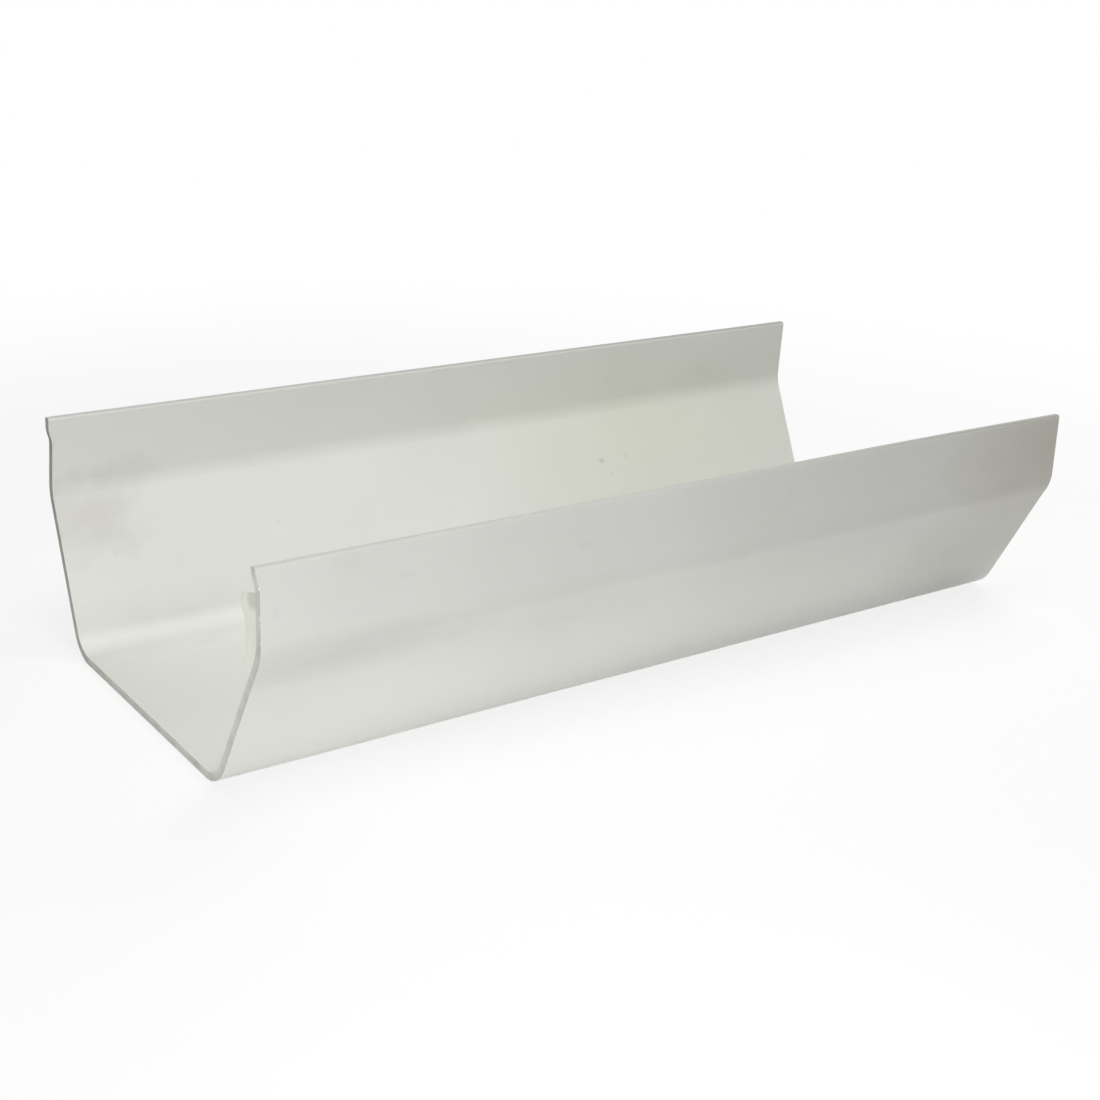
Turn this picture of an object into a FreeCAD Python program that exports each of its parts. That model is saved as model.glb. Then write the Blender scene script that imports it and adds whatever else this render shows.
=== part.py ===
"""Gutter section: one straight length of extruded channel, sawn to length at both ends.

Axes: +X along the channel, -Y is the front wall, +Y the back wall, +Z up.
Origin: middle of the length and width, on the underside of the floor.
The channel is one closed profile drawn in the YZ plane and extruded; the end at -X then
gets the slightly wandering cut that a hand saw leaves, the end at +X is cut square.
"""
import FreeCAD
import Part
import math
import os

# Overall sizes, mm
LENGTH = 242.0
WIDTH = 114.0               # widest, across the outer faces at the bends of the side walls
HEIGHT = 57.0
WALL = 2.0                  # the same all round the profile

# Shape of the profile
FLOOR_WIDTH = 77.5          # underside, between the sharp corners
BEND_HEIGHT = 37.5          # where the sloping lower walls turn upright
TOP_INSET = 1.1             # the upright walls toe in by this much at the rim
FLOOR_OUTER_RADIUS = 9.0    # underside to sloping wall
BEND_OUTER_RADIUS = 10.0    # sloping wall to upright wall
RIM_RADIUS = 0.5            # both edges of each rim

# Sawn end at -X: the cut drifts inward up the walls, then steps back near the rims
CUT_DRIFT = 1.4             # inward drift at the foot of the step
STEP_BACK = 0.85            # how far the cut comes back out near the rims
STEP_FOOT_DROP = 6.2        # foot of the step, below the rim
STEP_HEAD_DROP = 3.4        # head of the step, below the rim


def profile_point(y, z):
    """Return a point of the profile plane."""
    return FreeCAD.Vector(0, y, z)


def direction(start, end):
    """Return the unit vector from start to end."""
    step = end.sub(start)
    step.normalize()
    return step


def scaled(vector, factor):
    """Return a multiplied copy of the vector."""
    return FreeCAD.Vector(vector).multiply(factor)


def inward_path(points, distance):
    """Return the open outer path moved into the channel by distance, with mitred corners."""
    moved = []
    for index, point in enumerate(points):
        sides = []
        if index > 0:
            sides.append(direction(points[index - 1], point))
        if index < len(points) - 1:
            sides.append(direction(point, points[index + 1]))
        normals = [profile_point(side.z, -side.y) for side in sides]
        mitre = normals[0].add(normals[-1])
        mitre.normalize()
        moved.append(point.add(scaled(mitre, distance / mitre.dot(normals[0]))))
    return moved


def rounded_loop(points, radii):
    """Return a closed wire through the points, with a tangent arc of its radius at each corner."""
    arcs = []
    for index, point in enumerate(points):
        before = direction(point, points[index - 1])
        after = direction(point, points[(index + 1) % len(points)])
        half_angle = before.getAngle(after) / 2.0
        bisector = before.add(after)
        bisector.normalize()
        tangent_length = radii[index] / math.tan(half_angle)
        centre = point.add(scaled(bisector, radii[index] / math.sin(half_angle)))
        crown = centre.sub(scaled(bisector, radii[index]))
        arcs.append((point.add(scaled(before, tangent_length)), crown,
                     point.add(scaled(after, tangent_length))))
    edges = []
    for index, (start, crown, end) in enumerate(arcs):
        next_start = arcs[(index + 1) % len(arcs)][0]
        edges.append(Part.Arc(start, crown, end).toShape())
        edges.append(Part.makeLine(end, next_start))
    return Part.Wire(edges)


def channel_profile():
    """Return the closed profile of the wall: outer path, front rim, inner path, back rim."""
    bend_half = WIDTH / 2.0
    rim_half = bend_half - TOP_INSET
    floor_half = FLOOR_WIDTH / 2.0
    outer = [
        profile_point(rim_half, HEIGHT),
        profile_point(bend_half, BEND_HEIGHT),
        profile_point(floor_half, 0.0),
        profile_point(-floor_half, 0.0),
        profile_point(-bend_half, BEND_HEIGHT),
        profile_point(-rim_half, HEIGHT),
    ]
    inner = inward_path(outer, WALL)
    inner[0] = rim_on_level(inner[0], inner[1])
    inner[-1] = rim_on_level(inner[-1], inner[-2])
    rim = min(RIM_RADIUS, 0.45 * WALL)
    outer_radii = [rim, BEND_OUTER_RADIUS, FLOOR_OUTER_RADIUS,
                   FLOOR_OUTER_RADIUS, BEND_OUTER_RADIUS, rim]
    inner_radii = [rim, BEND_OUTER_RADIUS - WALL, FLOOR_OUTER_RADIUS - WALL,
                   FLOOR_OUTER_RADIUS - WALL, BEND_OUTER_RADIUS - WALL, rim]
    return rounded_loop(outer + inner[::-1], outer_radii + inner_radii[::-1])


def rim_on_level(rim, bend):
    """Return the rim point slid along its wall until it lies level with the top."""
    wall = direction(bend, rim)
    return rim.add(scaled(wall, (HEIGHT - rim.z) / wall.z))


def sawn_waste():
    """Return the wedge that the saw takes off the -X end, as wide as the channel and more."""
    end = -LENGTH / 2.0
    foot = HEIGHT - STEP_FOOT_DROP
    head = HEIGHT - STEP_HEAD_DROP
    outline = [
        FreeCAD.Vector(end, -WIDTH, 0.0),
        FreeCAD.Vector(end + CUT_DRIFT, -WIDTH, foot),
        FreeCAD.Vector(end + CUT_DRIFT - STEP_BACK, -WIDTH, head),
        FreeCAD.Vector(end + CUT_DRIFT - STEP_BACK, -WIDTH, HEIGHT + WALL),
        FreeCAD.Vector(end - WALL, -WIDTH, HEIGHT + WALL),
        FreeCAD.Vector(end - WALL, -WIDTH, 0.0),
    ]
    face = Part.Face(Part.makePolygon(outline + outline[:1]))
    return face.extrude(FreeCAD.Vector(0, 2.0 * WIDTH, 0))


def gutter_section():
    """Return the sawn length of gutter as one solid."""
    channel = Part.Face(channel_profile()).extrude(FreeCAD.Vector(LENGTH, 0, 0))
    channel.translate(FreeCAD.Vector(-LENGTH / 2.0, 0, 0))
    return channel.cut(sawn_waste())


os.makedirs("parts", exist_ok=True)
gutter_section().exportStep("parts/gutter.step")
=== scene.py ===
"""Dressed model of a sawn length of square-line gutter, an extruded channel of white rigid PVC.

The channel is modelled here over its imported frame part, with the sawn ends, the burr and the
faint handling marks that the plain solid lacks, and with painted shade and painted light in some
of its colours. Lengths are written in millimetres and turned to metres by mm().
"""
import logging
import math
from dataclasses import dataclass
from enum import Enum
from typing import Callable

import bmesh
import bpy
from mathutils import Matrix, Vector


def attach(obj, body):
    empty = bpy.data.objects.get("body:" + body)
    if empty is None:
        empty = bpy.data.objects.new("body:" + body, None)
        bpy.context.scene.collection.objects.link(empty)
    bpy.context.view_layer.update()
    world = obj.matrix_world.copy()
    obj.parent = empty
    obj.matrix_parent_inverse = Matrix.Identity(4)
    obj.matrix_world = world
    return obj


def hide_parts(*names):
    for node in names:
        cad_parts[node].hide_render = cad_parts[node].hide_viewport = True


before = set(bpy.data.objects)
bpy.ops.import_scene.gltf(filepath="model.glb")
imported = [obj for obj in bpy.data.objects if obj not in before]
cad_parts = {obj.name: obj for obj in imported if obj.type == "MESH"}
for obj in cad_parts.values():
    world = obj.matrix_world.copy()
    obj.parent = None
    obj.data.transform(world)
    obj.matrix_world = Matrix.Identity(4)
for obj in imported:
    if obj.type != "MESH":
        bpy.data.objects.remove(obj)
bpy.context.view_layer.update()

Socket = bpy.types.NodeSocket
Tree = bpy.types.NodeTree
Piece = bpy.types.Object
Material = bpy.types.Material
Pair = tuple[float, float]
Triple = tuple[float, float, float]
Table = tuple[Pair, ...]

LOG = logging.getLogger("gutter")
TOUCH = 1e-6          # metres: points nearer than this lie in one place
LOOSE_TOUCH = 1e-5    # metres: the same for stations that the saw has drawn askew
TOUCH_DIGITS = 6      # decimals of a metre that tell two places apart
LOOSE_DIGITS = 5
X, Y, Z = range(3)
PLAIN_WHITE = "#FFFFFF"
PVC_IOR = 1.53


def mm(length: float) -> float:
    """Return a length in millimetres as metres."""
    return length / 1000.0


def srgb(hex_code: str) -> tuple[float, float, float, float]:
    """Turn an sRGB hex colour into the linear colour that shaders take.

    The numbers in it are those of the sRGB curve.

    Args:
        hex_code: Six hex digits, with or without a leading hash.

    Returns:
        Linear red, green and blue, and an alpha of 1.
    """
    digits = hex_code.lstrip("#")
    linear = []
    for start in (0, 2, 4):
        value = int(digits[start:start + 2], 16) / 255.0
        linear.append(value / 12.92 if value <= 0.04045 else ((value + 0.055) / 1.055) ** 2.4)
    return linear[0], linear[1], linear[2], 1.0


class Side(Enum):
    """The two long walls of the channel, by the sign of their distance across it."""

    FRONT = -1
    BACK = 1


class End(Enum):
    """The two sawn ends of the channel, by the sign of their distance along it."""

    NEAR = -1
    FAR = 1


class Run(Enum):
    """The way in which fine lines run over the gutter, by its axis."""

    ALONG = X
    ACROSS = Y


def read_off(table: Table, place: float) -> float:
    """Read a value off a table of measured points, straight between them and level beyond.

    Args:
        table: Pairs of place and value, in rising order of place.
        place: Where to read the table.

    Returns:
        The value at that place.
    """
    if place <= table[0][0]:
        return table[0][1]
    for (start, low), (end, high) in zip(table, table[1:]):
        if place <= end:
            return low + (high - low) * (place - start) / (end - start)
    return table[-1][1]


# ---------------- materials


def add_node(
    tree: Tree, kind: str, settings: dict | None = None, inputs: dict | None = None
) -> bpy.types.Node:
    """Add one shader node with its settings, values and links.

    Args:
        tree: The node tree that gets the node.
        kind: Blender's node type, such as ShaderNodeTexNoise.
        settings: Node properties by name.
        inputs: Input sockets by name or index; a socket value is linked, anything else is set.

    Returns:
        The new node.
    """
    node = tree.nodes.new(kind)
    for name, value in (settings or {}).items():
        setattr(node, name, value)
    for key, value in (inputs or {}).items():
        socket = node.inputs[key]
        if isinstance(value, Socket):
            tree.links.new(value, socket)
        else:
            socket.default_value = value
    return node


def new_material(name: str) -> tuple[Material, Tree]:
    """Start a material.

    Args:
        name: Its name.

    Returns:
        The material and its emptied node tree.
    """
    material = bpy.data.materials.new(name)
    material.use_nodes = True
    material.node_tree.nodes.clear()
    return material, material.node_tree


def wash(
    tree: Tree, base: Socket | str, colour: str, value: Socket,
    start: float, end: float, top: float = 1.0,
) -> Socket:
    """Lay one colour over another by a share that rises from 0 as a value changes.

    Args:
        tree: The node tree.
        base: The colour beneath, as a socket or as sRGB hex.
        colour: The colour laid over it, as sRGB hex.
        value: What the share follows.
        start: The value at which the share is 0.
        end: The value at which it reaches its top.
        top: The top share.

    Returns:
        The blended colour.
    """
    share = add_node(tree, "ShaderNodeMapRange", inputs={
        "Value": value, "From Min": start, "From Max": end, "To Max": top,
    })
    mix = add_node(tree, "ShaderNodeMix", {"data_type": "RGBA"}, {
        "Factor": share.outputs["Result"],
        "A": srgb(base) if isinstance(base, str) else base,
        "B": srgb(colour),
    })
    return mix.outputs["Result"]


def close_plastic(
    tree: Tree, colour: Socket | tuple, roughness: Socket | float, relief: Socket | None = None
) -> None:
    """Close a material as bare rigid PVC.

    Args:
        tree: The node tree.
        colour: Its colour, as a socket or as a linear colour.
        roughness: Its roughness, as a socket or as one number.
        relief: The surface normal, where its surface has a relief.
    """
    inputs = {"Base Color": colour, "Roughness": roughness, "IOR": PVC_IOR}
    if relief is not None:
        inputs["Normal"] = relief
    plastic = add_node(tree, "ShaderNodeBsdfPrincipled", inputs=inputs)
    add_node(tree, "ShaderNodeOutputMaterial", inputs={"Surface": plastic.outputs["BSDF"]})


@dataclass(frozen=True)
class Cloudiness:
    """Soft patches of another colour, whose size is in millimetres.

    start and end are the values of the noise between which a patch rises to its top share.
    """

    colour: str
    size: float
    start: float
    end: float
    top: float = 1.0
    detail: float = 2.0
    fineness: float = 0.5

    def lay_over(self, tree: Tree, place: Socket, base: Socket | str) -> Socket:
        """Add the patches to a colour.

        Args:
            tree: The node tree.
            place: Object coordinates.
            base: The colour beneath them.

        Returns:
            The colour with the patches on it.
        """
        clouds = add_node(tree, "ShaderNodeTexNoise", inputs={
            "Vector": place, "Scale": 1.0 / mm(self.size),
            "Detail": self.detail, "Roughness": self.fineness,
        })
        return wash(
            tree, base, self.colour, clouds.outputs["Fac"], self.start, self.end, self.top
        )


@dataclass(frozen=True)
class Mark:
    """A stain, smear or fleck on the surface: an uneven oval spot of another colour.

    Sizes and places are in millimetres; soft is the share of its radius over which it fades.
    Its outline is broken by ripples of a share of its smallest radius, down to a finest size.
    """

    centre: Triple
    radii: Triple
    colour: str
    strength: float
    soft: float = 0.8
    raggedness: float = 0.25
    ripple_share: float = 0.7
    finest_ripple: float = 0.4
    ripple_detail: float = 2.0
    ripple_swing: float = 4.0

    def lay_over(self, tree: Tree, place: Socket, base: Socket) -> Socket:
        """Add the mark to a colour.

        Args:
            tree: The node tree.
            place: Object coordinates.
            base: The colour beneath it.

        Returns:
            The colour with the mark on it.
        """
        spot = add_node(tree, "ShaderNodeMapping", {"vector_type": "TEXTURE"}, {
            "Vector": place,
            "Location": [mm(c) for c in self.centre],
            "Scale": [mm(r) for r in self.radii],
        })
        distance = add_node(
            tree, "ShaderNodeVectorMath", {"operation": "LENGTH"}, {0: spot.outputs["Vector"]}
        )
        ripple = max(self.finest_ripple, min(self.radii) * self.ripple_share)
        uneven = add_node(tree, "ShaderNodeTexNoise", inputs={
            "Vector": place, "Scale": 1.0 / mm(ripple), "Detail": self.ripple_detail,
        })
        swing = self.ripple_swing * self.raggedness
        edge = add_node(tree, "ShaderNodeMath", {"operation": "MULTIPLY_ADD"}, {
            0: uneven.outputs["Fac"], 1: swing, 2: distance.outputs["Value"],
        })
        rim = 1.0 + swing / 2.0    # the noise averages a half
        return wash(
            tree, base, self.colour, edge.outputs["Value"], rim, rim - self.soft, self.strength
        )


@dataclass(frozen=True)
class Grain:
    """Fine lines in a surface that all run one way, with their sizes in millimetres."""

    run: Run
    pitch: float
    length: float
    depth: float
    detail: float
    strength: float

    def build(self, tree: Tree, place: Socket) -> tuple[Socket, Socket]:
        """Draw the lines.

        Args:
            tree: The node tree.
            place: Object coordinates.

        Returns:
            The lines as a value between 0 and 1, and the surface normal that they give.
        """
        scale = [1.0, 1.0, 1.0]
        scale[self.run.value] = self.pitch / self.length
        drawn = add_node(tree, "ShaderNodeMapping", inputs={"Vector": place, "Scale": scale})
        lines = add_node(tree, "ShaderNodeTexNoise", inputs={
            "Vector": drawn.outputs["Vector"],
            "Scale": 1.0 / mm(self.pitch), "Detail": self.detail,
        }).outputs["Fac"]
        relief = add_node(tree, "ShaderNodeBump", inputs={
            "Height": lines, "Strength": self.strength, "Distance": mm(self.depth),
        })
        return lines, relief.outputs["Normal"]


@dataclass(frozen=True)
class ExtrudedPvc:
    """White rigid PVC, drawn through a die and cooled.

    To the eye it is a soft satin white that is never quite one tone, streaked very faintly
    along its length, with a few marks of handling and patches of painted shade. Its colour
    also carries painted light and shade: whiter toward the floor as painted light bounced off
    the floor, and greyer on the upward faces of the rims as painted shade.
    """

    name: str
    white: str
    uneven: Cloudiness
    marks: tuple[Mark, ...]
    smears: Cloudiness = Cloudiness(
        "#D3CFC4", 24.0, 0.60, 0.80, top=0.35, detail=4.0, fineness=0.6
    )
    # The white grows from low_from down to low_to above the floor: painted light, standing in for
    # light bounced off the floor onto the low walls.
    painted_bounce_white: str = "#E2E3DD"
    low_from: float = 30.0
    low_to: float = 4.0
    roughness: float = 0.38
    smoother: float = 0.04
    rougher: float = 0.05
    line_values: Pair = (0.3, 0.7)
    # Real die lines lie a few hundredths of a millimetre apart; these are drawn 0.9 mm apart
    # so that they show.
    die_lines: Grain = Grain(Run.ALONG, 0.9, 160.0, 0.05, detail=2.0, strength=0.12)
    # Painted shade greys what faces up near the top of the walls, more toward the far end.
    near_rim_shade: str = "#CBCCC6"
    far_rim_shade: str = "#9B9C94"
    rim_level: float = 55.5
    rim_fade: float = 0.5
    upward_values: Pair = (0.35, 0.75)
    rim_shade_run: Pair = (-120.0, 80.0)

    def build(self) -> Material:
        """Make the finish of one skin of the channel.

        Returns:
            The material.
        """
        material, tree = new_material(self.name)
        place = add_node(tree, "ShaderNodeTexCoord").outputs["Object"]
        height = add_node(tree, "ShaderNodeSeparateXYZ", inputs={"Vector": place}).outputs["Z"]
        colour = self.uneven.lay_over(tree, place, self.white)
        colour = self.smears.lay_over(tree, place, colour)
        # Painted light: the low walls whiten toward the floor as if lit from the floor.
        colour = wash(tree, colour, self.painted_bounce_white, height, mm(self.low_from), mm(self.low_to))
        for mark in self.marks:
            colour = mark.lay_over(tree, place, colour)
        # Painted shade on the upward faces of the rims.
        colour = self.shade_rims(tree, place, colour)
        lines, relief = self.die_lines.build(tree, place)
        rough = add_node(tree, "ShaderNodeMapRange", inputs={
            "Value": lines,
            "From Min": self.line_values[0], "From Max": self.line_values[1],
            "To Min": self.roughness - self.smoother, "To Max": self.roughness + self.rougher,
        })
        close_plastic(tree, colour, rough.outputs["Result"], relief)
        return material

    def shade_rims(self, tree: Tree, place: Socket, colour: Socket) -> Socket:
        """Grey the upward faces of both rims with painted shade, more toward the far end.

        Args:
            tree: The node tree of the skin.
            place: Object coordinates.
            colour: The colour of the skin so far.

        Returns:
            The colour with the painted shade laid over it.
        """
        placed = add_node(tree, "ShaderNodeSeparateXYZ", inputs={"Vector": place}).outputs
        normal = add_node(tree, "ShaderNodeTexCoord").outputs["Normal"]
        facing = add_node(tree, "ShaderNodeSeparateXYZ", inputs={"Vector": normal}).outputs
        rim_values = mm(self.rim_level - self.rim_fade), mm(self.rim_level)
        high, upward = (
            add_node(tree, "ShaderNodeMapRange", inputs={
                "Value": value, "From Min": start, "From Max": end,
            }).outputs["Result"]
            for value, (start, end) in (
                (placed["Z"], rim_values), (facing["Z"], self.upward_values)
            )
        )
        on_rim = add_node(tree, "ShaderNodeMath", {"operation": "MULTIPLY"}, {0: high, 1: upward})
        start, end = self.rim_shade_run
        # Painted shade on the rims, darker toward the far end.
        rim_shade = wash(tree, self.near_rim_shade, self.far_rim_shade, placed["X"], mm(start), mm(end))
        rim_shaded = add_node(tree, "ShaderNodeMix", {"data_type": "RGBA"}, {
            "Factor": on_rim.outputs["Value"], "A": colour, "B": rim_shade,
        })
        return rim_shaded.outputs["Result"]


@dataclass(frozen=True)
class SawnPvc:
    """The same PVC where a fine-toothed saw went through it.

    To the eye it is torn and matt and scored along the stroke of the saw, painted greyer than the
    skin as painted shade, darker toward the back wall, and with patches of dirt in it.
    """

    # The torn white is painted shade, greyer than the skin; the darker colour is laid on toward the
    # back wall and in patches of dirt.
    shaded_torn_white: str = "#CECFC7"
    dirt_and_darkening: str = "#85857E"
    roughness: float = 0.80
    # The teeth of such a saw score every few tenths of a millimetre; the scores are drawn
    # 0.7 mm apart so that they show.
    strokes: Grain = Grain(Run.ACROSS, 0.7, 9.0, 0.15, detail=3.0, strength=0.5)
    paler_side: float = 30.0
    darker_side: float = 54.0
    back_darkening: float = 0.60
    patch_size: float = 6.0
    patch_detail: float = 3.0
    patch_values: Pair = (0.40, 0.75)
    patch_dirt: float = 0.34

    def build(self) -> Material:
        """Make the finish of the sawn faces.

        Returns:
            The material.
        """
        material, tree = new_material("rigid_pvc_sawn")
        place = add_node(tree, "ShaderNodeTexCoord").outputs["Object"]
        across = add_node(tree, "ShaderNodeSeparateXYZ", inputs={"Vector": place}).outputs["Y"]
        clouds = add_node(tree, "ShaderNodeTexNoise", inputs={
            "Vector": place, "Scale": 1.0 / mm(self.patch_size), "Detail": self.patch_detail,
        })
        backward, patches = (
            add_node(tree, "ShaderNodeMapRange", inputs={
                "Value": value, "From Min": start, "From Max": end, "To Max": top,
            }).outputs["Result"]
            for value, start, end, top in (
                (across, mm(self.paler_side), mm(self.darker_side), self.back_darkening),
                (clouds.outputs["Fac"], *self.patch_values, self.patch_dirt),
            )
        )
        dirt_and_darkening = add_node(tree, "ShaderNodeMath", {"operation": "ADD", "use_clamp": True}, {
            0: backward, 1: patches,
        })
        # Painted shade in the base, darker toward the back wall, and patches of dirt.
        darkened = add_node(tree, "ShaderNodeMix", {"data_type": "RGBA"}, {
            "Factor": dirt_and_darkening.outputs["Value"], "A": srgb(self.shaded_torn_white), "B": srgb(self.dirt_and_darkening),
        })
        _, relief = self.strokes.build(tree, place)
        close_plastic(tree, darkened.outputs["Result"], self.roughness, relief)
        return material


@dataclass(frozen=True)
class SmearedPvc:
    """PVC that the warm saw softened and pushed over the edge.

    To the eye it is thin, pale and waxy, and painted greyer round its fold against the wall, as
    painted shade.
    """

    pale: str = "#E6E7DD"
    fold_shade: str = "#CBCCC2"
    fold_centre: Triple = (-119.6, -52.6, 48.9)
    fold_radius: float = 2.6
    fold_core: float = 1.17
    fold_share: float = 0.9
    roughness: float = 0.55

    def build(self) -> Material:
        """Make the finish of the burr.

        Returns:
            The material.
        """
        material, tree = new_material("rigid_pvc_smeared")
        place = add_node(tree, "ShaderNodeTexCoord").outputs["Object"]
        apart = add_node(tree, "ShaderNodeVectorMath", {"operation": "DISTANCE"}, {
            0: place, 1: [mm(c) for c in self.fold_centre],
        })
        # Painted shade round the fold against the wall.
        colour = wash(
            tree, self.pale, self.fold_shade, apart.outputs["Value"],
            mm(self.fold_radius), mm(self.fold_core), self.fold_share,
        )
        close_plastic(tree, colour, self.roughness)
        return material


@dataclass(frozen=True)
class SliverHighlightPvc:
    """PVC of the slivers along a sawn edge, painted whiter as highlights.

    To the eye it is whiter than the skin beside it: a painted highlight where the slivers catch the
    light.
    """

    # A painted highlight: whiter than the skin, where the slivers catch the light.
    white: str = "#F4F4EF"
    roughness: float = 0.5

    def build(self) -> Material:
        """Make the finish of the slivers.

        Returns:
            The material.
        """
        material, tree = new_material("rigid_pvc_sliver_highlight")
        close_plastic(tree, srgb(self.white), self.roughness)
        return material


@dataclass(frozen=True)
class StudioPaper:
    """Matt white background paper.

    To the eye it holds the shadow close to the gutter and runs out to plain white, for the
    camera and in reflections.
    """

    paper: str = "#F4F4F2"
    near_lift: float = 0.83
    near_radius: float = 160.0
    far_radius: float = 420.0

    def build(self) -> Material:
        """Make the finish of the floor.

        Returns:
            The material.
        """
        material, tree = new_material("studio_paper")
        place = add_node(tree, "ShaderNodeTexCoord").outputs["Object"]
        reach = add_node(tree, "ShaderNodeVectorMath", {"operation": "LENGTH"}, {0: place})
        lift = add_node(tree, "ShaderNodeMapRange", {"interpolation_type": "SMOOTHSTEP"}, {
            "Value": reach.outputs["Value"], "From Min": mm(self.near_radius),
            "From Max": mm(self.far_radius), "To Min": self.near_lift, "To Max": 1.0,
        })
        share = add_node(tree, "ShaderNodeMath", {"operation": "MULTIPLY"}, {
            0: seen_directly(tree), 1: lift.outputs["Result"],
        })
        diffuse = add_node(tree, "ShaderNodeBsdfDiffuse", inputs={"Color": srgb(self.paper)})
        white = add_node(
            tree, "ShaderNodeEmission", inputs={"Color": srgb(PLAIN_WHITE), "Strength": 1.0}
        )
        mixed = add_node(tree, "ShaderNodeMixShader", inputs={
            0: share.outputs["Value"],
            1: diffuse.outputs["BSDF"], 2: white.outputs["Emission"],
        })
        add_node(tree, "ShaderNodeOutputMaterial", inputs={"Surface": mixed.outputs["Shader"]})
        return material


def seen_directly(tree: Tree) -> Socket:
    """Tell the rays that show a backdrop from those that light the object.

    Args:
        tree: The node tree.

    Returns:
        1 for camera, glossy and transmission rays, and 0 for the rest.
    """
    rays = add_node(tree, "ShaderNodeLightPath").outputs
    mirrored = add_node(tree, "ShaderNodeMath", {"operation": "MAXIMUM"}, {
        0: rays["Is Glossy Ray"], 1: rays["Is Transmission Ray"],
    })
    seen = add_node(tree, "ShaderNodeMath", {"operation": "MAXIMUM"}, {
        0: rays["Is Camera Ray"], 1: mirrored.outputs["Value"],
    })
    return seen.outputs["Value"]


FLECK = "#77766C"
STAIN = "#B6AEAE"
OUTSIDE_SKIN = ExtrudedPvc(
    # The lighter low white is painted light, standing in for light bounced off the floor onto the
    # low walls.
    name="rigid_pvc_outside", white="#E1E2DD", painted_bounce_white="#F5F6F1",
    uneven=Cloudiness("#DDDDD9", 60.0, 0.35, 0.65),
    marks=(
        # A warm stain on the far front wall, partly painted shade that darkens the far end.
        Mark((120.0, -56.8, 48.0), (46.0, 22.0, 26.0), "#B9AC99", 0.54, soft=1.0, raggedness=0.1),
        # Painted shade on the far front slope.
        Mark((114.0, -46.0, 22.0), (52.0, 22.0, 26.0), "#B9B8B0", 0.58, soft=1.0, raggedness=0.08),
        # Painted shade along the bend of the front wall, toward the near end.
        Mark((-102.0, -55.0, 34.0), (44.0, 12.0, 7.0), "#B9BAB6", 0.38, soft=1.0, raggedness=0.08),
        Mark((-116.1, -56.5, 47.1), (1.3, 3.0, 1.9), "#CFCFD0", 0.25, soft=0.9),
        Mark((-85.3, -56.3, 49.1), (2.2, 3.0, 1.0), "#CFCFCD", 0.3),
        Mark((-39.8, -56.4, 47.7), (1.8, 3.0, 1.2), "#CFCFCD", 0.3),
    ),
)
INSIDE_SKIN = ExtrudedPvc(
    name="rigid_pvc_inside", white="#E2E3DD", roughness=0.50,
    uneven=Cloudiness("#DEDFD9", 60.0, 0.35, 0.65),
    marks=(
        Mark((70.0, 49.0, 30.0), (80.0, 30.0, 30.0), "#DDDFC8", 0.42, soft=1.0, raggedness=0.15),
        # Painted shade in the corner of the floor and the back wall, near the near end.
        Mark((-98.0, 42.0, 3.0), (46.0, 17.0, 11.0), "#C6C7BE", 0.5, soft=1.0, raggedness=0.15),
        Mark((-113.0, 51.5, 31.0), (19.0, 10.0, 15.0), STAIN, 0.36, soft=0.9),
        Mark((-100.0, 55.0, 40.5), (13.0, 6.0, 6.0), STAIN, 0.18, soft=1.0),
        Mark((88.0, 54.5, 44.5), (18.0, 6.0, 8.0), STAIN, 0.12, soft=1.0),
        Mark((-107.4, 47.2, 22.0), (1.1, 1.6, 1.3), FLECK, 0.09, soft=0.9),
        Mark((-61.8, 47.6, 22.7), (0.9, 1.2, 0.7), FLECK, 0.15),
        Mark((45.6, 47.9, 23.4), (1.5, 1.0, 0.9), FLECK, 0.28, soft=0.6),
        Mark((48.7, 46.1, 19.7), (1.0, 1.0, 0.7), FLECK, 0.12),
        Mark((54.8, 48.0, 23.6), (1.1, 1.2, 1.4), FLECK, 0.13),
        Mark((64.3, 47.8, 23.2), (1.0, 1.0, 0.7), FLECK, 0.08),
        Mark((75.8, 55.5, 29.4), (1.8, 5.0, 1.3), FLECK, 0.12),
        Mark((74.7, 42.2, 11.7), (1.6, 1.6, 1.0), FLECK, 0.12),
    ),
)


# ---------------- mesh helpers


def deselect_everything() -> None:
    """Leave object mode empty-handed, so that an operator acts only on what comes next."""
    if bpy.context.object is not None and bpy.context.object.mode != "OBJECT":
        bpy.ops.object.mode_set(mode="OBJECT")
    bpy.ops.object.select_all(action="DESELECT")


def take_up(first: Piece, *others: Piece) -> None:
    """Select these pieces and nothing else.

    Args:
        first: The piece that becomes the active one.
        others: More pieces.
    """
    deselect_everything()
    for piece in (first, *others):
        piece.select_set(True)
    bpy.context.view_layer.objects.active = first


def start_piece(add_primitive: Callable, name: str) -> Piece:
    """Add a primitive one metre across and open it for editing, all selected.

    Args:
        add_primitive: The operator that adds it.
        name: The name of the piece.

    Returns:
        The new piece, in edit mode.
    """
    deselect_everything()
    add_primitive(size=1.0)
    piece = bpy.context.object
    piece.name = name
    piece.data.name = name
    bpy.ops.object.mode_set(mode="EDIT")
    bpy.ops.mesh.select_all(action="SELECT")
    return piece


def edited() -> bpy.types.Mesh:
    """Return the mesh of the piece being edited."""
    return bpy.context.object.data


def both_at(first: Vector, second: Vector, axis: int, place: float) -> bool:
    """Tell whether both ends of an edge lie at one place along an axis."""
    return abs(first[axis] - place) < TOUCH and abs(second[axis] - place) < TOUCH


def pick_edges(wanted: Callable[[Vector, Vector], bool]) -> None:
    """Select, in edit mode, the edges that pass a test on their two ends.

    Args:
        wanted: Test on the positions of an edge's two ends.
    """
    bpy.ops.mesh.select_mode(type="EDGE")
    bpy.ops.mesh.select_all(action="DESELECT")
    mesh = bmesh.from_edit_mesh(edited())
    for edge in mesh.edges:
        if wanted(edge.verts[0].co, edge.verts[1].co):
            edge.select_set(True)
    bmesh.update_edit_mesh(edited())


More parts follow.
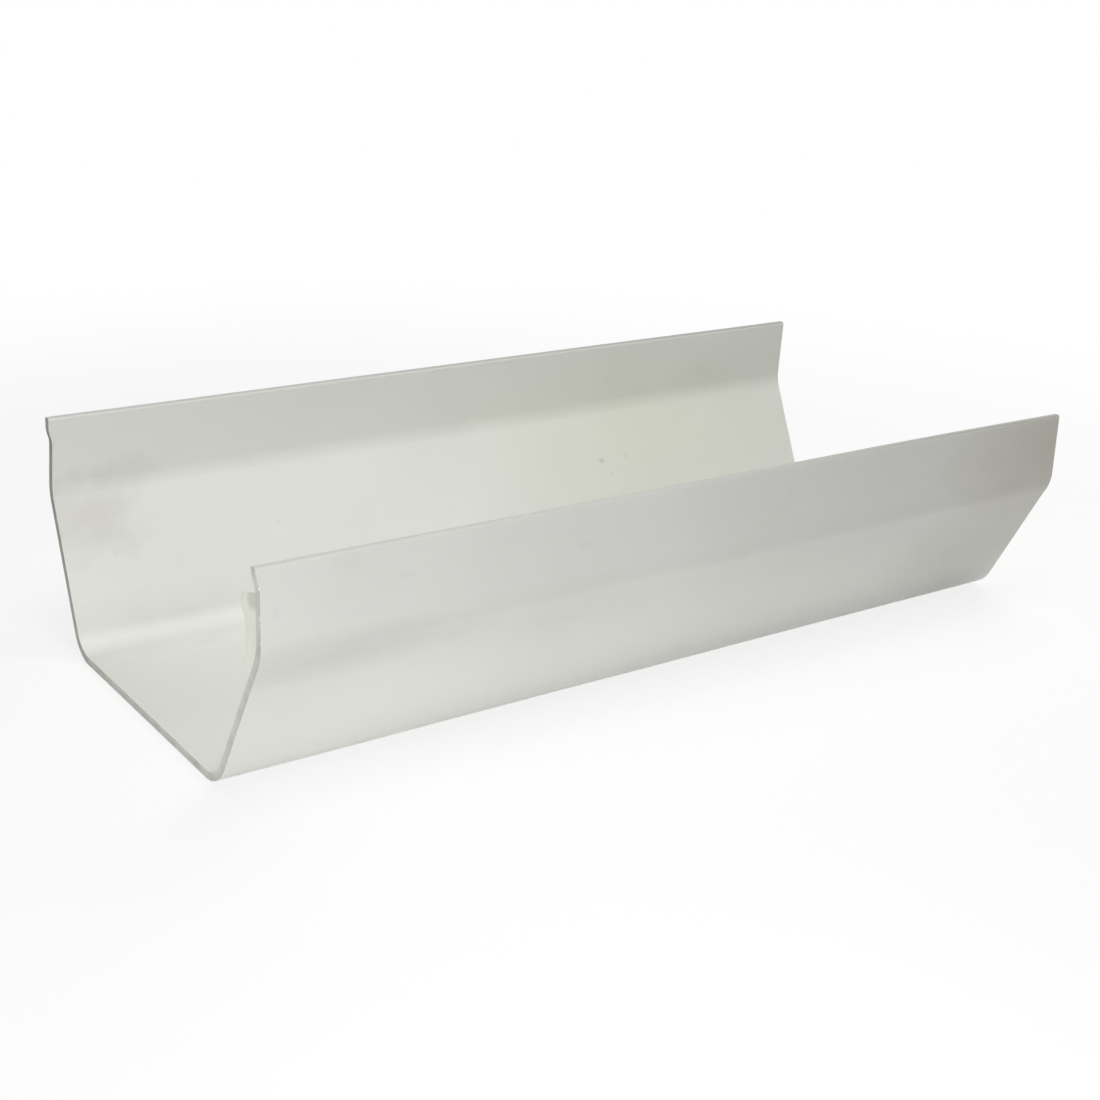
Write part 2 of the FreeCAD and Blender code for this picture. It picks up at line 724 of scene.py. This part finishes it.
def pick_vertices(wanted: Callable[[Vector], bool]) -> int:
    """Select, in edit mode, the vertices that pass a test on their position.

    Args:
        wanted: Test on a vertex's position.

    Returns:
        The number of vertices selected.
    """
    bpy.ops.mesh.select_mode(type="VERT")
    bpy.ops.mesh.select_all(action="DESELECT")
    mesh = bmesh.from_edit_mesh(edited())
    count = 0
    for vertex in mesh.verts:
        if wanted(vertex.co):
            vertex.select_set(True)
            count += 1
    mesh.select_flush_mode()
    bmesh.update_edit_mesh(edited())
    return count


def places_along(
    axis: int, wanted: Callable[[Vector], bool], digits: int = TOUCH_DIGITS
) -> list[float]:
    """List in rising order the places along an axis of the edited piece's wanted vertices."""
    mesh = bmesh.from_edit_mesh(edited())
    return sorted({round(v.co[axis], digits) for v in mesh.verts if wanted(v.co)})


def apply_modifier(piece: Piece, kind: str, settings: dict) -> None:
    """Put one modifier on a piece and apply it.

    Args:
        piece: The finished mesh that it works on.
        kind: Blender's modifier type.
        settings: Modifier properties by name.
    """
    modifier = piece.modifiers.new(kind.lower(), kind)
    for name, value in settings.items():
        setattr(modifier, name, value)
    bpy.context.view_layer.objects.active = piece
    bpy.ops.object.modifier_apply(modifier=modifier.name)


def finish_shape(piece: Piece, angle: float) -> None:
    """Apply a piece's place and turn, and smooth its faces where they meet below an angle.

    Args:
        piece: The finished piece.
        angle: The largest angle in degrees that is still smoothed.
    """
    take_up(piece)
    bpy.ops.object.transform_apply(location=True, rotation=True, scale=True)
    bpy.ops.object.shade_smooth_by_angle(angle=math.radians(angle))


# ---------------- the gutter


@dataclass
class GutterChannel:
    """The channel itself: a folded sheet along the outside of the profile, given its wall.

    Each sawn end is written as pairs of height and of how far inside the end the saw ran.
    """

    length: float = 242.0
    width: float = 114.0
    height: float = 57.0
    wall: float = 2.0
    floor_width: float = 77.5
    bend_height: float = 37.5
    top_inset: float = 1.1
    floor_outer_radius: float = 9.0
    floor_corner_steps: int = 14
    bend_outer_radius: float = 10.0
    bend_steps: int = 8
    rim_radius: float = 0.45
    rim_steps: int = 3
    end_clearance: float = 0.03
    # How finely the sheet is divided: along the gutter, and for each pass round the profile
    # the shortest strip that is divided and into how many cuts.
    length_cuts: int = 60
    strip_cuts: tuple[tuple[float, int], ...] = ((40.0, 35), (20.0, 15), (10.0, 11))
    near_cut_front: Table = ((0.0, 0.0), (34.0, 1.05), (52.4, 1.4), (53.3, 0.9), (57.0, 0.45))
    near_cut_back: Table = ((0.0, 0.0), (50.8, 1.4), (53.6, 0.55))
    far_cut_front: Table = ((0.0, 0.8), (33.0, 0.8), (38.0, 0.35), (56.0, 0.0))
    far_cut_back: Table = ((37.0, 0.0), (57.0, 0.8))
    # The front rim drops toward the far end, and only above this clearance from the bend.
    sag_start: float = 55.0
    sag: float = 0.5
    sag_power: float = 1.5
    sag_clearance: float = 4.0
    wander: float = 0.35
    wander_size: float = 55.0
    # The edges along a rim: this near the top, this long at least, and this sharp at least.
    rim_band: float = 1.7
    rim_edge_length: float = 1.0
    rim_edge_skew: float = 0.2
    rim_edge_angle: float = 60.0
    # The edges across a cut: this near an end, this share of the wall long, nearly square.
    cut_band: float = 1.6
    cut_edge_shares: Pair = (0.8, 1.4)
    cut_edge_skew: float = 0.25
    tear_cuts_across: int = 2
    tear_depth: float = 0.14
    tear_unevenness: float = 0.12
    tear_seed: int = 3
    square_facing: float = 0.9
    sawn_band: float = 2.0
    sawn_facing: float = 0.7
    rim_skin_depth: float = 1.2
    smooth_below: float = 35.0
    name: str = "gutter_channel"

    def build(self) -> Piece:
        """Model the channel.

        Returns:
            The finished channel, at the origin.
        """
        channel = self.fold_sheet()
        self.round_corners()
        self.divide()
        self.saw_ends()
        self.sag_front_rim()
        bpy.ops.object.mode_set(mode="OBJECT")
        self.relax_walls(channel)
        apply_modifier(channel, "SOLIDIFY", {
            "thickness": mm(self.wall), "offset": 1.0, "use_even_offset": True, "use_rim": True,
        })
        self.ease_rims()
        self.tear_ends()
        return channel

    def spread(self) -> float:
        """Return how far each sloping wall leans outwards between the floor and its bend."""
        return (self.width - self.floor_width) / 2.0

    def end_place(self) -> float:
        """Return how far the modelled ends stand from the middle, in metres."""
        return mm(self.length / 2.0 - self.end_clearance)

    def outer_face(self, height: float) -> float:
        """Find the outside of a wall.

        Args:
            height: The height above the underside.

        Returns:
            How far the outside stands from the middle at that height.
        """
        if height >= self.bend_height:
            rise = self.height - self.bend_height
            return self.width / 2.0 - self.top_inset * (height - self.bend_height) / rise
        return self.floor_width / 2.0 + self.spread() * height / self.bend_height

    def inner_face(self, height: float) -> float:
        """Return how far the inside of a wall stands from the middle at a height."""
        slant = math.hypot(self.spread(), self.bend_height) / self.bend_height
        return self.outer_face(height) - self.wall * (1.0 if height >= self.bend_height else slant)

    def fold_sheet(self) -> Piece:
        """Extrude a plane the size of the underside up both sides to the rims.

        Returns:
            The folded sheet, in edit mode.
        """
        channel = start_piece(bpy.ops.mesh.primitive_plane_add, self.name)
        length = mm(self.length - 2.0 * self.end_clearance)
        bpy.ops.transform.resize(value=(length, mm(self.floor_width), 1.0))
        rise = mm(self.height - self.bend_height)
        for side in Side:
            edge = side.value * mm(self.floor_width) / 2.0
            pick_edges(lambda a, b: both_at(a, b, Y, edge))
            for outward, upward in (
                (mm(self.spread()), mm(self.bend_height)), (-mm(self.top_inset), rise)
            ):
                bpy.ops.mesh.extrude_region_move(
                    TRANSFORM_OT_translate={"value": (0.0, side.value * outward, upward)}
                )
        return channel

    def round_corners(self) -> None:
        """Round the two floor corners and the two bends to their outside radii."""
        slope = math.atan2(self.bend_height, self.spread())
        upright = math.atan2(self.height - self.bend_height, -self.top_inset)
        for level, turn, radius, steps in (
            (0.0, slope, self.floor_outer_radius, self.floor_corner_steps),
            (self.bend_height, upright - slope, self.bend_outer_radius, self.bend_steps),
        ):
            height = mm(level)
            pick_edges(lambda a, b: both_at(a, b, Z, height) and abs(a.y - b.y) < TOUCH)
            bpy.ops.mesh.bevel(
                offset_type="OFFSET", offset=mm(radius * math.tan(turn / 2.0)), segments=steps,
                profile=0.5, affect="EDGES",
            )

    def divide(self) -> None:
        """Cut the sheet finely enough to carry its unevenness and the shape of its cuts."""
        pick_edges(lambda a, b: abs(a.x - b.x) > mm(self.length / 2.0))
        bpy.ops.mesh.subdivide(number_cuts=self.length_cuts)
        for shortest, cuts in self.strip_cuts:
            pick_edges(lambda a, b: abs(a.x - b.x) < TOUCH and (a - b).length > mm(shortest))
            bpy.ops.mesh.subdivide(number_cuts=cuts)

    def saw_ends(self) -> None:
        """Draw both edges of the sheet in along the path of the saw."""
        for end, side, cut in (
            (End.NEAR, Side.FRONT, self.near_cut_front),
            (End.NEAR, Side.BACK, self.near_cut_back),
            (End.FAR, Side.FRONT, self.far_cut_front),
            (End.FAR, Side.BACK, self.far_cut_back),
        ):
            self.saw_wall(end, side, cut)
        self.skew_far_floor()

    def saw_wall(self, end: End, side: Side, cut: Table) -> None:
        """Draw one end of one wall in along its cut.

        Args:
            end: The end.
            side: The wall.
            cut: Pairs of height and inset.
        """
        place = end.value * self.end_place()

        def on_edge(point: Vector) -> bool:
            """Tell whether a point of the sheet lies on this end of this wall."""
            return abs(point.x - place) < TOUCH and point.y * side.value > 0.0 and point.z > TOUCH

        for level in places_along(Z, on_edge):
            inset = mm(read_off(cut, level * 1000.0))
            if pick_vertices(lambda p: on_edge(p) and abs(p.z - level) < 2.0 * TOUCH):
                bpy.ops.transform.translate(value=(-end.value * inset, 0.0, 0.0))

    def skew_far_floor(self) -> None:
        """Run the far cut across the floor slightly out of square, to meet both walls."""
        end = self.end_place()
        front, back = self.far_cut_front[0][1], self.far_cut_back[0][1]

        def on_edge(point: Vector) -> bool:
            """Tell whether a point of the sheet lies on the far edge of the underside."""
            return abs(point.x - end) < TOUCH and point.z < TOUCH

        places = places_along(Y, on_edge)
        for place in places:
            share = 0.5 - place / (places[-1] - places[0])
            inset = back + (front - back) * share
            if inset > 0.0:
                pick_vertices(lambda p: on_edge(p) and abs(p.y - place) < TOUCH)
                bpy.ops.transform.translate(value=(-mm(inset), 0.0, 0.0))

    def sag_front_rim(self) -> None:
        """Let the front rim drop a little toward the far end."""
        bend = mm(self.bend_height)
        foot = bend + mm(self.sag_clearance)
        rise = self.height - self.bend_height
        reach = self.length / 2.0 - self.sag_start
        for station in places_along(X, lambda p: p.x > mm(self.sag_start), LOOSE_DIGITS):
            drop = self.sag * ((station * 1000.0 - self.sag_start) / reach) ** self.sag_power
            pick_vertices(lambda p: abs(p.x - station) < LOOSE_TOUCH and p.y < 0.0 and p.z > foot)
            bpy.ops.transform.resize(
                value=(1.0, 1.0, 1.0 - drop / rise), center_override=(0.0, 0.0, bend)
            )

    def relax_walls(self, channel: Piece) -> None:
        """Let the walls wander inwards by a few tenths, as a drawn and cooled section does.

        Args:
            channel: The sheet, in object mode.
        """
        waves = bpy.data.textures.new("cooling_waves", "CLOUDS")
        waves.noise_scale = mm(self.wander_size)
        waves.noise_depth = 1
        apply_modifier(channel, "DISPLACE", {
            "texture": waves, "texture_coords": "LOCAL",
            "strength": mm(self.wander), "mid_level": 0.0,
        })

    def ease_rims(self) -> None:
        """Round the long edges of both rims."""
        bpy.ops.object.mode_set(mode="EDIT")
        top = mm(self.height) - mm(self.rim_band)
        pick_edges(
            lambda a, b: min(a.z, b.z) > top and abs(a.x - b.x) > mm(self.rim_edge_length)
            and abs(a.y - b.y) < mm(self.rim_edge_skew),
        )
        mesh = bmesh.from_edit_mesh(edited())
        for edge in mesh.edges:
            if edge.select and edge.calc_face_angle(0.0) < math.radians(self.rim_edge_angle):
                edge.select_set(False)
        bmesh.update_edit_mesh(edited())
        bpy.ops.mesh.bevel(
            offset_type="OFFSET", offset=mm(self.rim_radius), segments=self.rim_steps,
            profile=0.5, affect="EDGES",
        )

    def tear_ends(self) -> None:
        """Divide the sawn faces across the wall and pull them unevenly into the plastic."""
        near_an_end = self.end_place() - mm(self.cut_band)
        shortest, longest = (mm(share * self.wall) for share in self.cut_edge_shares)
        pick_edges(
            lambda a, b: min(abs(a.x), abs(b.x)) > near_an_end and a.x * b.x > 0.0
            and shortest < (a - b).length < longest
            and abs(a.x - b.x) < mm(self.cut_edge_skew),
        )
        bpy.ops.mesh.subdivide(number_cuts=self.tear_cuts_across)
        for end in End:
            self.tear_end(end)
        bpy.ops.object.mode_set(mode="OBJECT")

    def tear_end(self, end: End) -> None:
        """Roughen the middle of one sawn face, always into the plastic.

        Args:
            end: The end.
        """
        bpy.ops.mesh.select_mode(type="VERT")
        bpy.ops.mesh.select_all(action="DESELECT")
        mesh = bmesh.from_edit_mesh(edited())
        for vertex in mesh.verts:
            faces = vertex.link_faces
            square = all(f.normal.x * end.value > self.square_facing for f in faces)
            vertex.select_set(square and len(faces) == 4)
        bmesh.update_edit_mesh(edited())
        bpy.ops.transform.translate(value=(-end.value * mm(self.tear_depth), 0.0, 0.0))
        bpy.ops.transform.vertex_random(offset=mm(self.tear_unevenness), seed=self.tear_seed)

    def dress(self, channel: Piece, outside: Material, inside: Material, sawn: Material) -> None:
        """Give the two skins and the sawn faces their materials and smooth the corners.

        Args:
            channel: The finished channel.
            outside: The finish of the outside and of the rims.
            inside: The finish of the inside.
            sawn: The finish of the sawn ends.
        """
        slots = {"outside": 0, "inside": 1, "sawn": 2}
        for material in (outside, inside, sawn):
            channel.data.materials.append(material)
        top = mm(self.height)
        for face in channel.data.polygons:
            centre = face.center
            into_channel = Vector((0.0, -centre.y, top - centre.z))
            near_an_end = abs(centre.x) > self.end_place() - mm(self.sawn_band)
            if near_an_end and abs(face.normal.x) > self.sawn_facing:
                face.material_index = slots["sawn"]
            elif face.normal.dot(into_channel) > 0.0 and centre.z < top - mm(self.rim_skin_depth):
                face.material_index = slots["inside"]
            else:
                face.material_index = slots["outside"]
        finish_shape(channel, self.smooth_below)


@dataclass
class SawBurr:
    """The thin tongue of softened plastic left hanging along the inner edge of the front wall.

    Its outline is written as pairs of height and of width out from the wall.
    """

    channel: GutterChannel
    foot: float = 32.4
    top: float = 50.4
    root_overlap: float = 0.3
    thickness: float = 0.4
    edge_share: float = 0.35
    edge_steps: int = 2
    curl: float = 0.5
    curl_steps: int = 8
    cuts_up: int = 21
    cuts_across: int = 5
    smooth_below: float = 50.0
    outline: Table = (
        (32.4, 0.9), (33.6, 2.4), (35.4, 3.9), (38.0, 4.4), (43.4, 4.5), (44.8, 5.0),
        (46.0, 5.6), (47.6, 5.8), (48.9, 5.7), (49.7, 5.1), (50.2, 3.8), (50.4, 1.6),
    )
    name: str = "saw_burr"

    def build(self) -> Piece:
        """Model the burr, rooted in the sawn end of the front wall.

        Returns:
            The finished burr, at the origin.
        """
        burr = start_piece(bpy.ops.mesh.primitive_plane_add, self.name)
        self.lay_out()
        self.hang_rows()
        self.curl_tip()
        bpy.ops.object.mode_set(mode="OBJECT")
        apply_modifier(burr, "SOLIDIFY", {"thickness": mm(self.thickness), "offset": 0.0})
        apply_modifier(burr, "BEVEL", {
            "width": mm(self.thickness * self.edge_share), "segments": self.edge_steps,
        })
        return burr

    def lay_out(self) -> None:
        """Turn the plane into a ribbon, 1 mm wide across the gutter and with its length upright."""
        origin = (0.0, 0.0, 0.0)
        height = mm(self.top - self.foot)
        width = mm(1.0)
        bpy.ops.transform.translate(value=(0.5, 0.5, 0.0))
        bpy.ops.transform.resize(value=(height, width, 1.0), center_override=origin)
        pick_edges(lambda a, b: abs(a.x - b.x) > height / 2.0)
        bpy.ops.mesh.subdivide(number_cuts=self.cuts_up)
        pick_edges(lambda a, b: abs(a.y - b.y) > width / 2.0)
        bpy.ops.mesh.subdivide(number_cuts=self.cuts_across)
        bpy.ops.mesh.select_all(action="SELECT")
        bpy.ops.transform.rotate(value=math.pi / 2.0, orient_axis="Y", center_override=origin)
        mesh = bmesh.from_edit_mesh(edited())
        if min(v.co.z for v in mesh.verts) < -TOUCH:
            bpy.ops.transform.translate(value=(0.0, 0.0, height))
        bpy.ops.transform.translate(value=(0.0, 0.0, mm(self.foot)))

    def hang_rows(self) -> None:
        """Give each row of the ribbon its width and set its root against the wall."""
        end = -self.channel.end_place()
        for row in places_along(Z, lambda p: True):
            height = row * 1000.0
            pick_vertices(lambda p: abs(p.z - row) < 2.0 * TOUCH)
            width = read_off(self.outline, height) + self.root_overlap
            bpy.ops.transform.resize(value=(1.0, width, 1.0), center_override=(0.0, 0.0, row))
            bpy.ops.transform.translate(value=(
                end + mm(read_off(self.channel.near_cut_front, height) + self.thickness),
                -mm(self.channel.inner_face(height) + self.root_overlap), 0.0,
            ))

    def curl_tip(self) -> None:
        """Curl the free side of the burr out of the plane of the cut."""
        mesh = bmesh.from_edit_mesh(edited())
        root = -mm(self.channel.inner_face(self.top))
        reach = max(v.co.y for v in mesh.verts) - root
        steps = range(1, self.curl_steps)
        for step in steps:
            line = root + reach * step / self.curl_steps
            if pick_vertices(lambda p: p.y > line):
                bpy.ops.transform.translate(value=(-mm(self.curl) * step / sum(steps), 0.0, 0.0))

    def dress(self, burr: Piece, smeared: Material) -> None:
        """Give the burr its finish."""
        burr.data.materials.append(smeared)
        finish_shape(burr, self.smooth_below)


@dataclass
class EdgeSlivers:
    """Short slivers of plastic along the outer edge of the near cut, painted whiter as highlights.

    Each is set by its height, its share of the full length and its turn in degrees. Its sizes
    but the length are shares: of the length where it narrows or bends, of the width elsewhere.
    """

    channel: GutterChannel
    length: float = 0.8
    width: float = 0.28
    flatness: float = 0.6
    cuts: int = 5
    taper: tuple[Pair, ...] = ((0.2, 0.75), (0.35, 0.55))
    bend_zone: float = 0.2
    bend: float = 0.3
    edge_share: float = 0.2
    edge_steps: int = 2
    sink: float = 0.55
    smooth_below: float = 50.0
    spots: tuple[Triple, ...] = (
        (52.6, 1.0, 14.0), (46.2, 0.9, -22.0), (44.9, 0.6, 30.0), (41.2, 0.6, -8.0),
        (55.9, 0.7, 40.0), (17.6, 0.7, 25.0), (9.5, 0.5, -20.0),
    )
    name: str = "edge_sliver"

    def build(self) -> list[Piece]:
        """Model one sliver, and copy it to each of its places along the front wall.

        Returns:
            The slivers, each with its own mesh.
        """
        slivers = [self.shape_sliver()]
        while len(slivers) < len(self.spots):
            take_up(slivers[0])
            bpy.ops.object.duplicate(linked=False)
            slivers.append(bpy.context.object)
        for number, (sliver, spot) in enumerate(zip(slivers, self.spots), start=1):
            sliver.name = f"{self.name}_{number}"
            sliver.data.name = sliver.name
            self.set_on_edge(sliver, *spot)
        return slivers

    def shape_sliver(self) -> Piece:
        """Draw a thin bar out to both ends and bend it in its middle.

        Returns:
            One sliver, at the origin.
        """
        sliver = start_piece(bpy.ops.mesh.primitive_cube_add, self.name)
        bpy.ops.transform.resize(
            value=(mm(self.width), mm(self.width * self.flatness), mm(self.length))
        )
        pick_edges(lambda a, b: abs(a.z - b.z) > mm(self.length / 2.0))
        bpy.ops.mesh.subdivide(number_cuts=self.cuts)
        for end in End:
            for inside, scale in self.taper:
                pick_vertices(lambda p: p.z * end.value > mm(self.length * inside))
                bpy.ops.transform.resize(value=(scale, scale, 1.0))
        pick_vertices(lambda p: abs(p.z) < mm(self.length * self.bend_zone))
        bpy.ops.transform.translate(value=(-mm(self.width * self.bend), 0.0, 0.0))
        bpy.ops.object.mode_set(mode="OBJECT")
        apply_modifier(sliver, "BEVEL", {
            "width": mm(self.width * self.edge_share), "segments": self.edge_steps,
        })
        return sliver

    def set_on_edge(self, sliver: Piece, height: float, size: float, turn: float) -> None:
        """Set a sliver on the outer edge of the cut.

        Args:
            sliver: The sliver at the origin.
            height: Its height in millimetres.
            size: Its share of the full length of a sliver.
            turn: Its turn about the length of the gutter, in degrees.
        """
        sliver.scale = (size, size, size)
        sliver.rotation_euler = (math.radians(turn), 0.0, 0.0)
        sliver.location = (
            -self.channel.end_place() + mm(read_off(self.channel.near_cut_front, height)),
            -mm(self.channel.outer_face(height) - self.width * self.sink),
            mm(height),
        )

    def dress(self, slivers: list[Piece], sliver_highlight: Material) -> None:
        """Give the slivers their finish.

        Args:
            slivers: The slivers.
            sliver_highlight: Their finish, painted whiter as a highlight.
        """
        for sliver in slivers:
            sliver.data.materials.append(sliver_highlight)
            finish_shape(sliver, self.smooth_below)


# ---------------- the studio


@dataclass(frozen=True)
class SoftLamp:
    """A square soft lamp, with places in metres and its power in watts."""

    name: str
    place: Triple
    size: float
    power: float
    aim: Triple = (0.0, 0.0, 0.03)
    mirrored: bool = True

    def hang(self) -> None:
        """Hang the lamp, unseen by the camera."""
        light = bpy.data.lights.new(self.name, "AREA")
        light.shape = "SQUARE"
        light.size = self.size
        light.energy = self.power
        lamp = bpy.data.objects.new(self.name, light)
        lamp.location = self.place
        lamp.visible_camera = False
        lamp.visible_glossy = self.mirrored
        direction = Vector(self.aim) - Vector(self.place)
        lamp.rotation_euler = direction.to_track_quat("-Z", "Y").to_euler()
        bpy.context.scene.collection.objects.link(lamp)


@dataclass
class Studio:
    """A white paper floor, five soft lamps and a camera.

    The lamps are a low key lamp off the near end, one low over the floor, two from above, and
    one for the back wall and the far end. The floor and the camera's clipping are in metres,
    the camera's place is in millimetres, and its heading, pitch and roll are in degrees.
    """

    floor_size: float = 16.0
    floor_drop: float = 0.00002
    lamps: tuple[SoftLamp, ...] = (
        SoftLamp("key_lamp", (-0.45, -0.25, 0.06), 0.10, 0.78),
        SoftLamp("floor_lamp", (-0.12, -0.22, 0.10), 0.12, 0.105, (-0.12, -0.221, -1.0)),
        SoftLamp("near_top_lamp", (-0.10, -0.15, 0.50), 0.25, 1.26),
        SoftLamp("far_top_lamp", (0.21, 0.0, 0.42), 0.25, 0.96),
        SoftLamp("back_lamp", (0.42, 0.36, 0.10), 0.30, 0.75, mirrored=False),
    )
    focal_length: float = 57.975
    sensor_width: float = 36.0
    clipping: Pair = (0.01, 50.0)
    camera_place: Triple = (-266.41, -346.52, 188.15)
    camera_turns: Triple = (53.204, 21.115, 3.343)

    def build(self) -> None:
        """Set up the floor, the lamps, the world and the camera."""
        self.lay_floor()
        for lamp in self.lamps:
            lamp.hang()
        self.set_world()
        self.place_camera()

    def lay_floor(self) -> None:
        """Lay the paper floor just under the gutter."""
        deselect_everything()
        bpy.ops.mesh.primitive_plane_add(
            size=self.floor_size, location=(0.0, 0.0, -self.floor_drop)
        )
        floor = bpy.context.object
        floor.name = "studio_floor"
        floor.data.materials.append(StudioPaper().build())

    def set_world(self) -> None:
        """Surround the set with white for the camera and for reflections, and dark for the rest."""
        world = bpy.data.worlds.new("studio_world")
        world.use_nodes = True
        bpy.context.scene.world = world
        tree = world.node_tree
        tree.nodes.clear()
        sky = add_node(tree, "ShaderNodeBackground", inputs={
            "Color": srgb(PLAIN_WHITE), "Strength": seen_directly(tree),
        })
        add_node(tree, "ShaderNodeOutputWorld", inputs={"Surface": sky.outputs["Background"]})

    def place_camera(self) -> None:
        """Stand the camera off the near end, looking down along the gutter."""
        heading, pitch, roll = (math.radians(turn) for turn in self.camera_turns)
        forward = Vector((
            math.cos(pitch) * math.cos(heading),
            math.cos(pitch) * math.sin(heading),
            -math.sin(pitch),
        ))
        level = Vector((math.sin(heading), -math.cos(heading), 0.0))
        upward = level.cross(forward)
        right = level * math.cos(roll) + upward * math.sin(roll)
        up = upward * math.cos(roll) - level * math.sin(roll)
        data = bpy.data.cameras.new("camera")
        data.sensor_width = self.sensor_width
        data.lens = self.focal_length
        data.clip_start, data.clip_end = self.clipping
        camera = bpy.data.objects.new("camera", data)
        turn = Matrix((right, up, -forward)).transposed().to_4x4()
        camera.matrix_world = Matrix.Translation([mm(c) for c in self.camera_place]) @ turn
        bpy.context.scene.collection.objects.link(camera)
        bpy.context.scene.camera = camera
        bpy.context.scene.view_settings.view_transform = "Standard"


def main() -> None:
    """Build the dressed gutter and the studio round it."""
    logging.basicConfig(level=logging.INFO, format="%(message)s")
    shape = GutterChannel()
    channel = shape.build()
    shape.dress(channel, OUTSIDE_SKIN.build(), INSIDE_SKIN.build(), SawnPvc().build())
    LOG.info("channel: %d faces", len(channel.data.polygons))

    burr_shape = SawBurr(shape)
    burr = burr_shape.build()
    burr_shape.dress(burr, SmearedPvc().build())
    LOG.info("saw burr: %d faces", len(burr.data.polygons))

    sliver_shape = EdgeSlivers(shape)
    slivers = sliver_shape.build()
    sliver_shape.dress(slivers, SliverHighlightPvc().build())
    LOG.info("edge slivers: %d", len(slivers))

    # The burr and the slivers are torn from the channel, so they join it under its name.
    take_up(channel, burr, *slivers)
    bpy.ops.object.join()
    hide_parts("gutter")
    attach(channel, "root")
    LOG.info("gutter: %d faces in one piece", len(channel.data.polygons))

    Studio().build()
    LOG.info("studio: floor, lamps and camera")


if __name__ == "__main__":
    main()
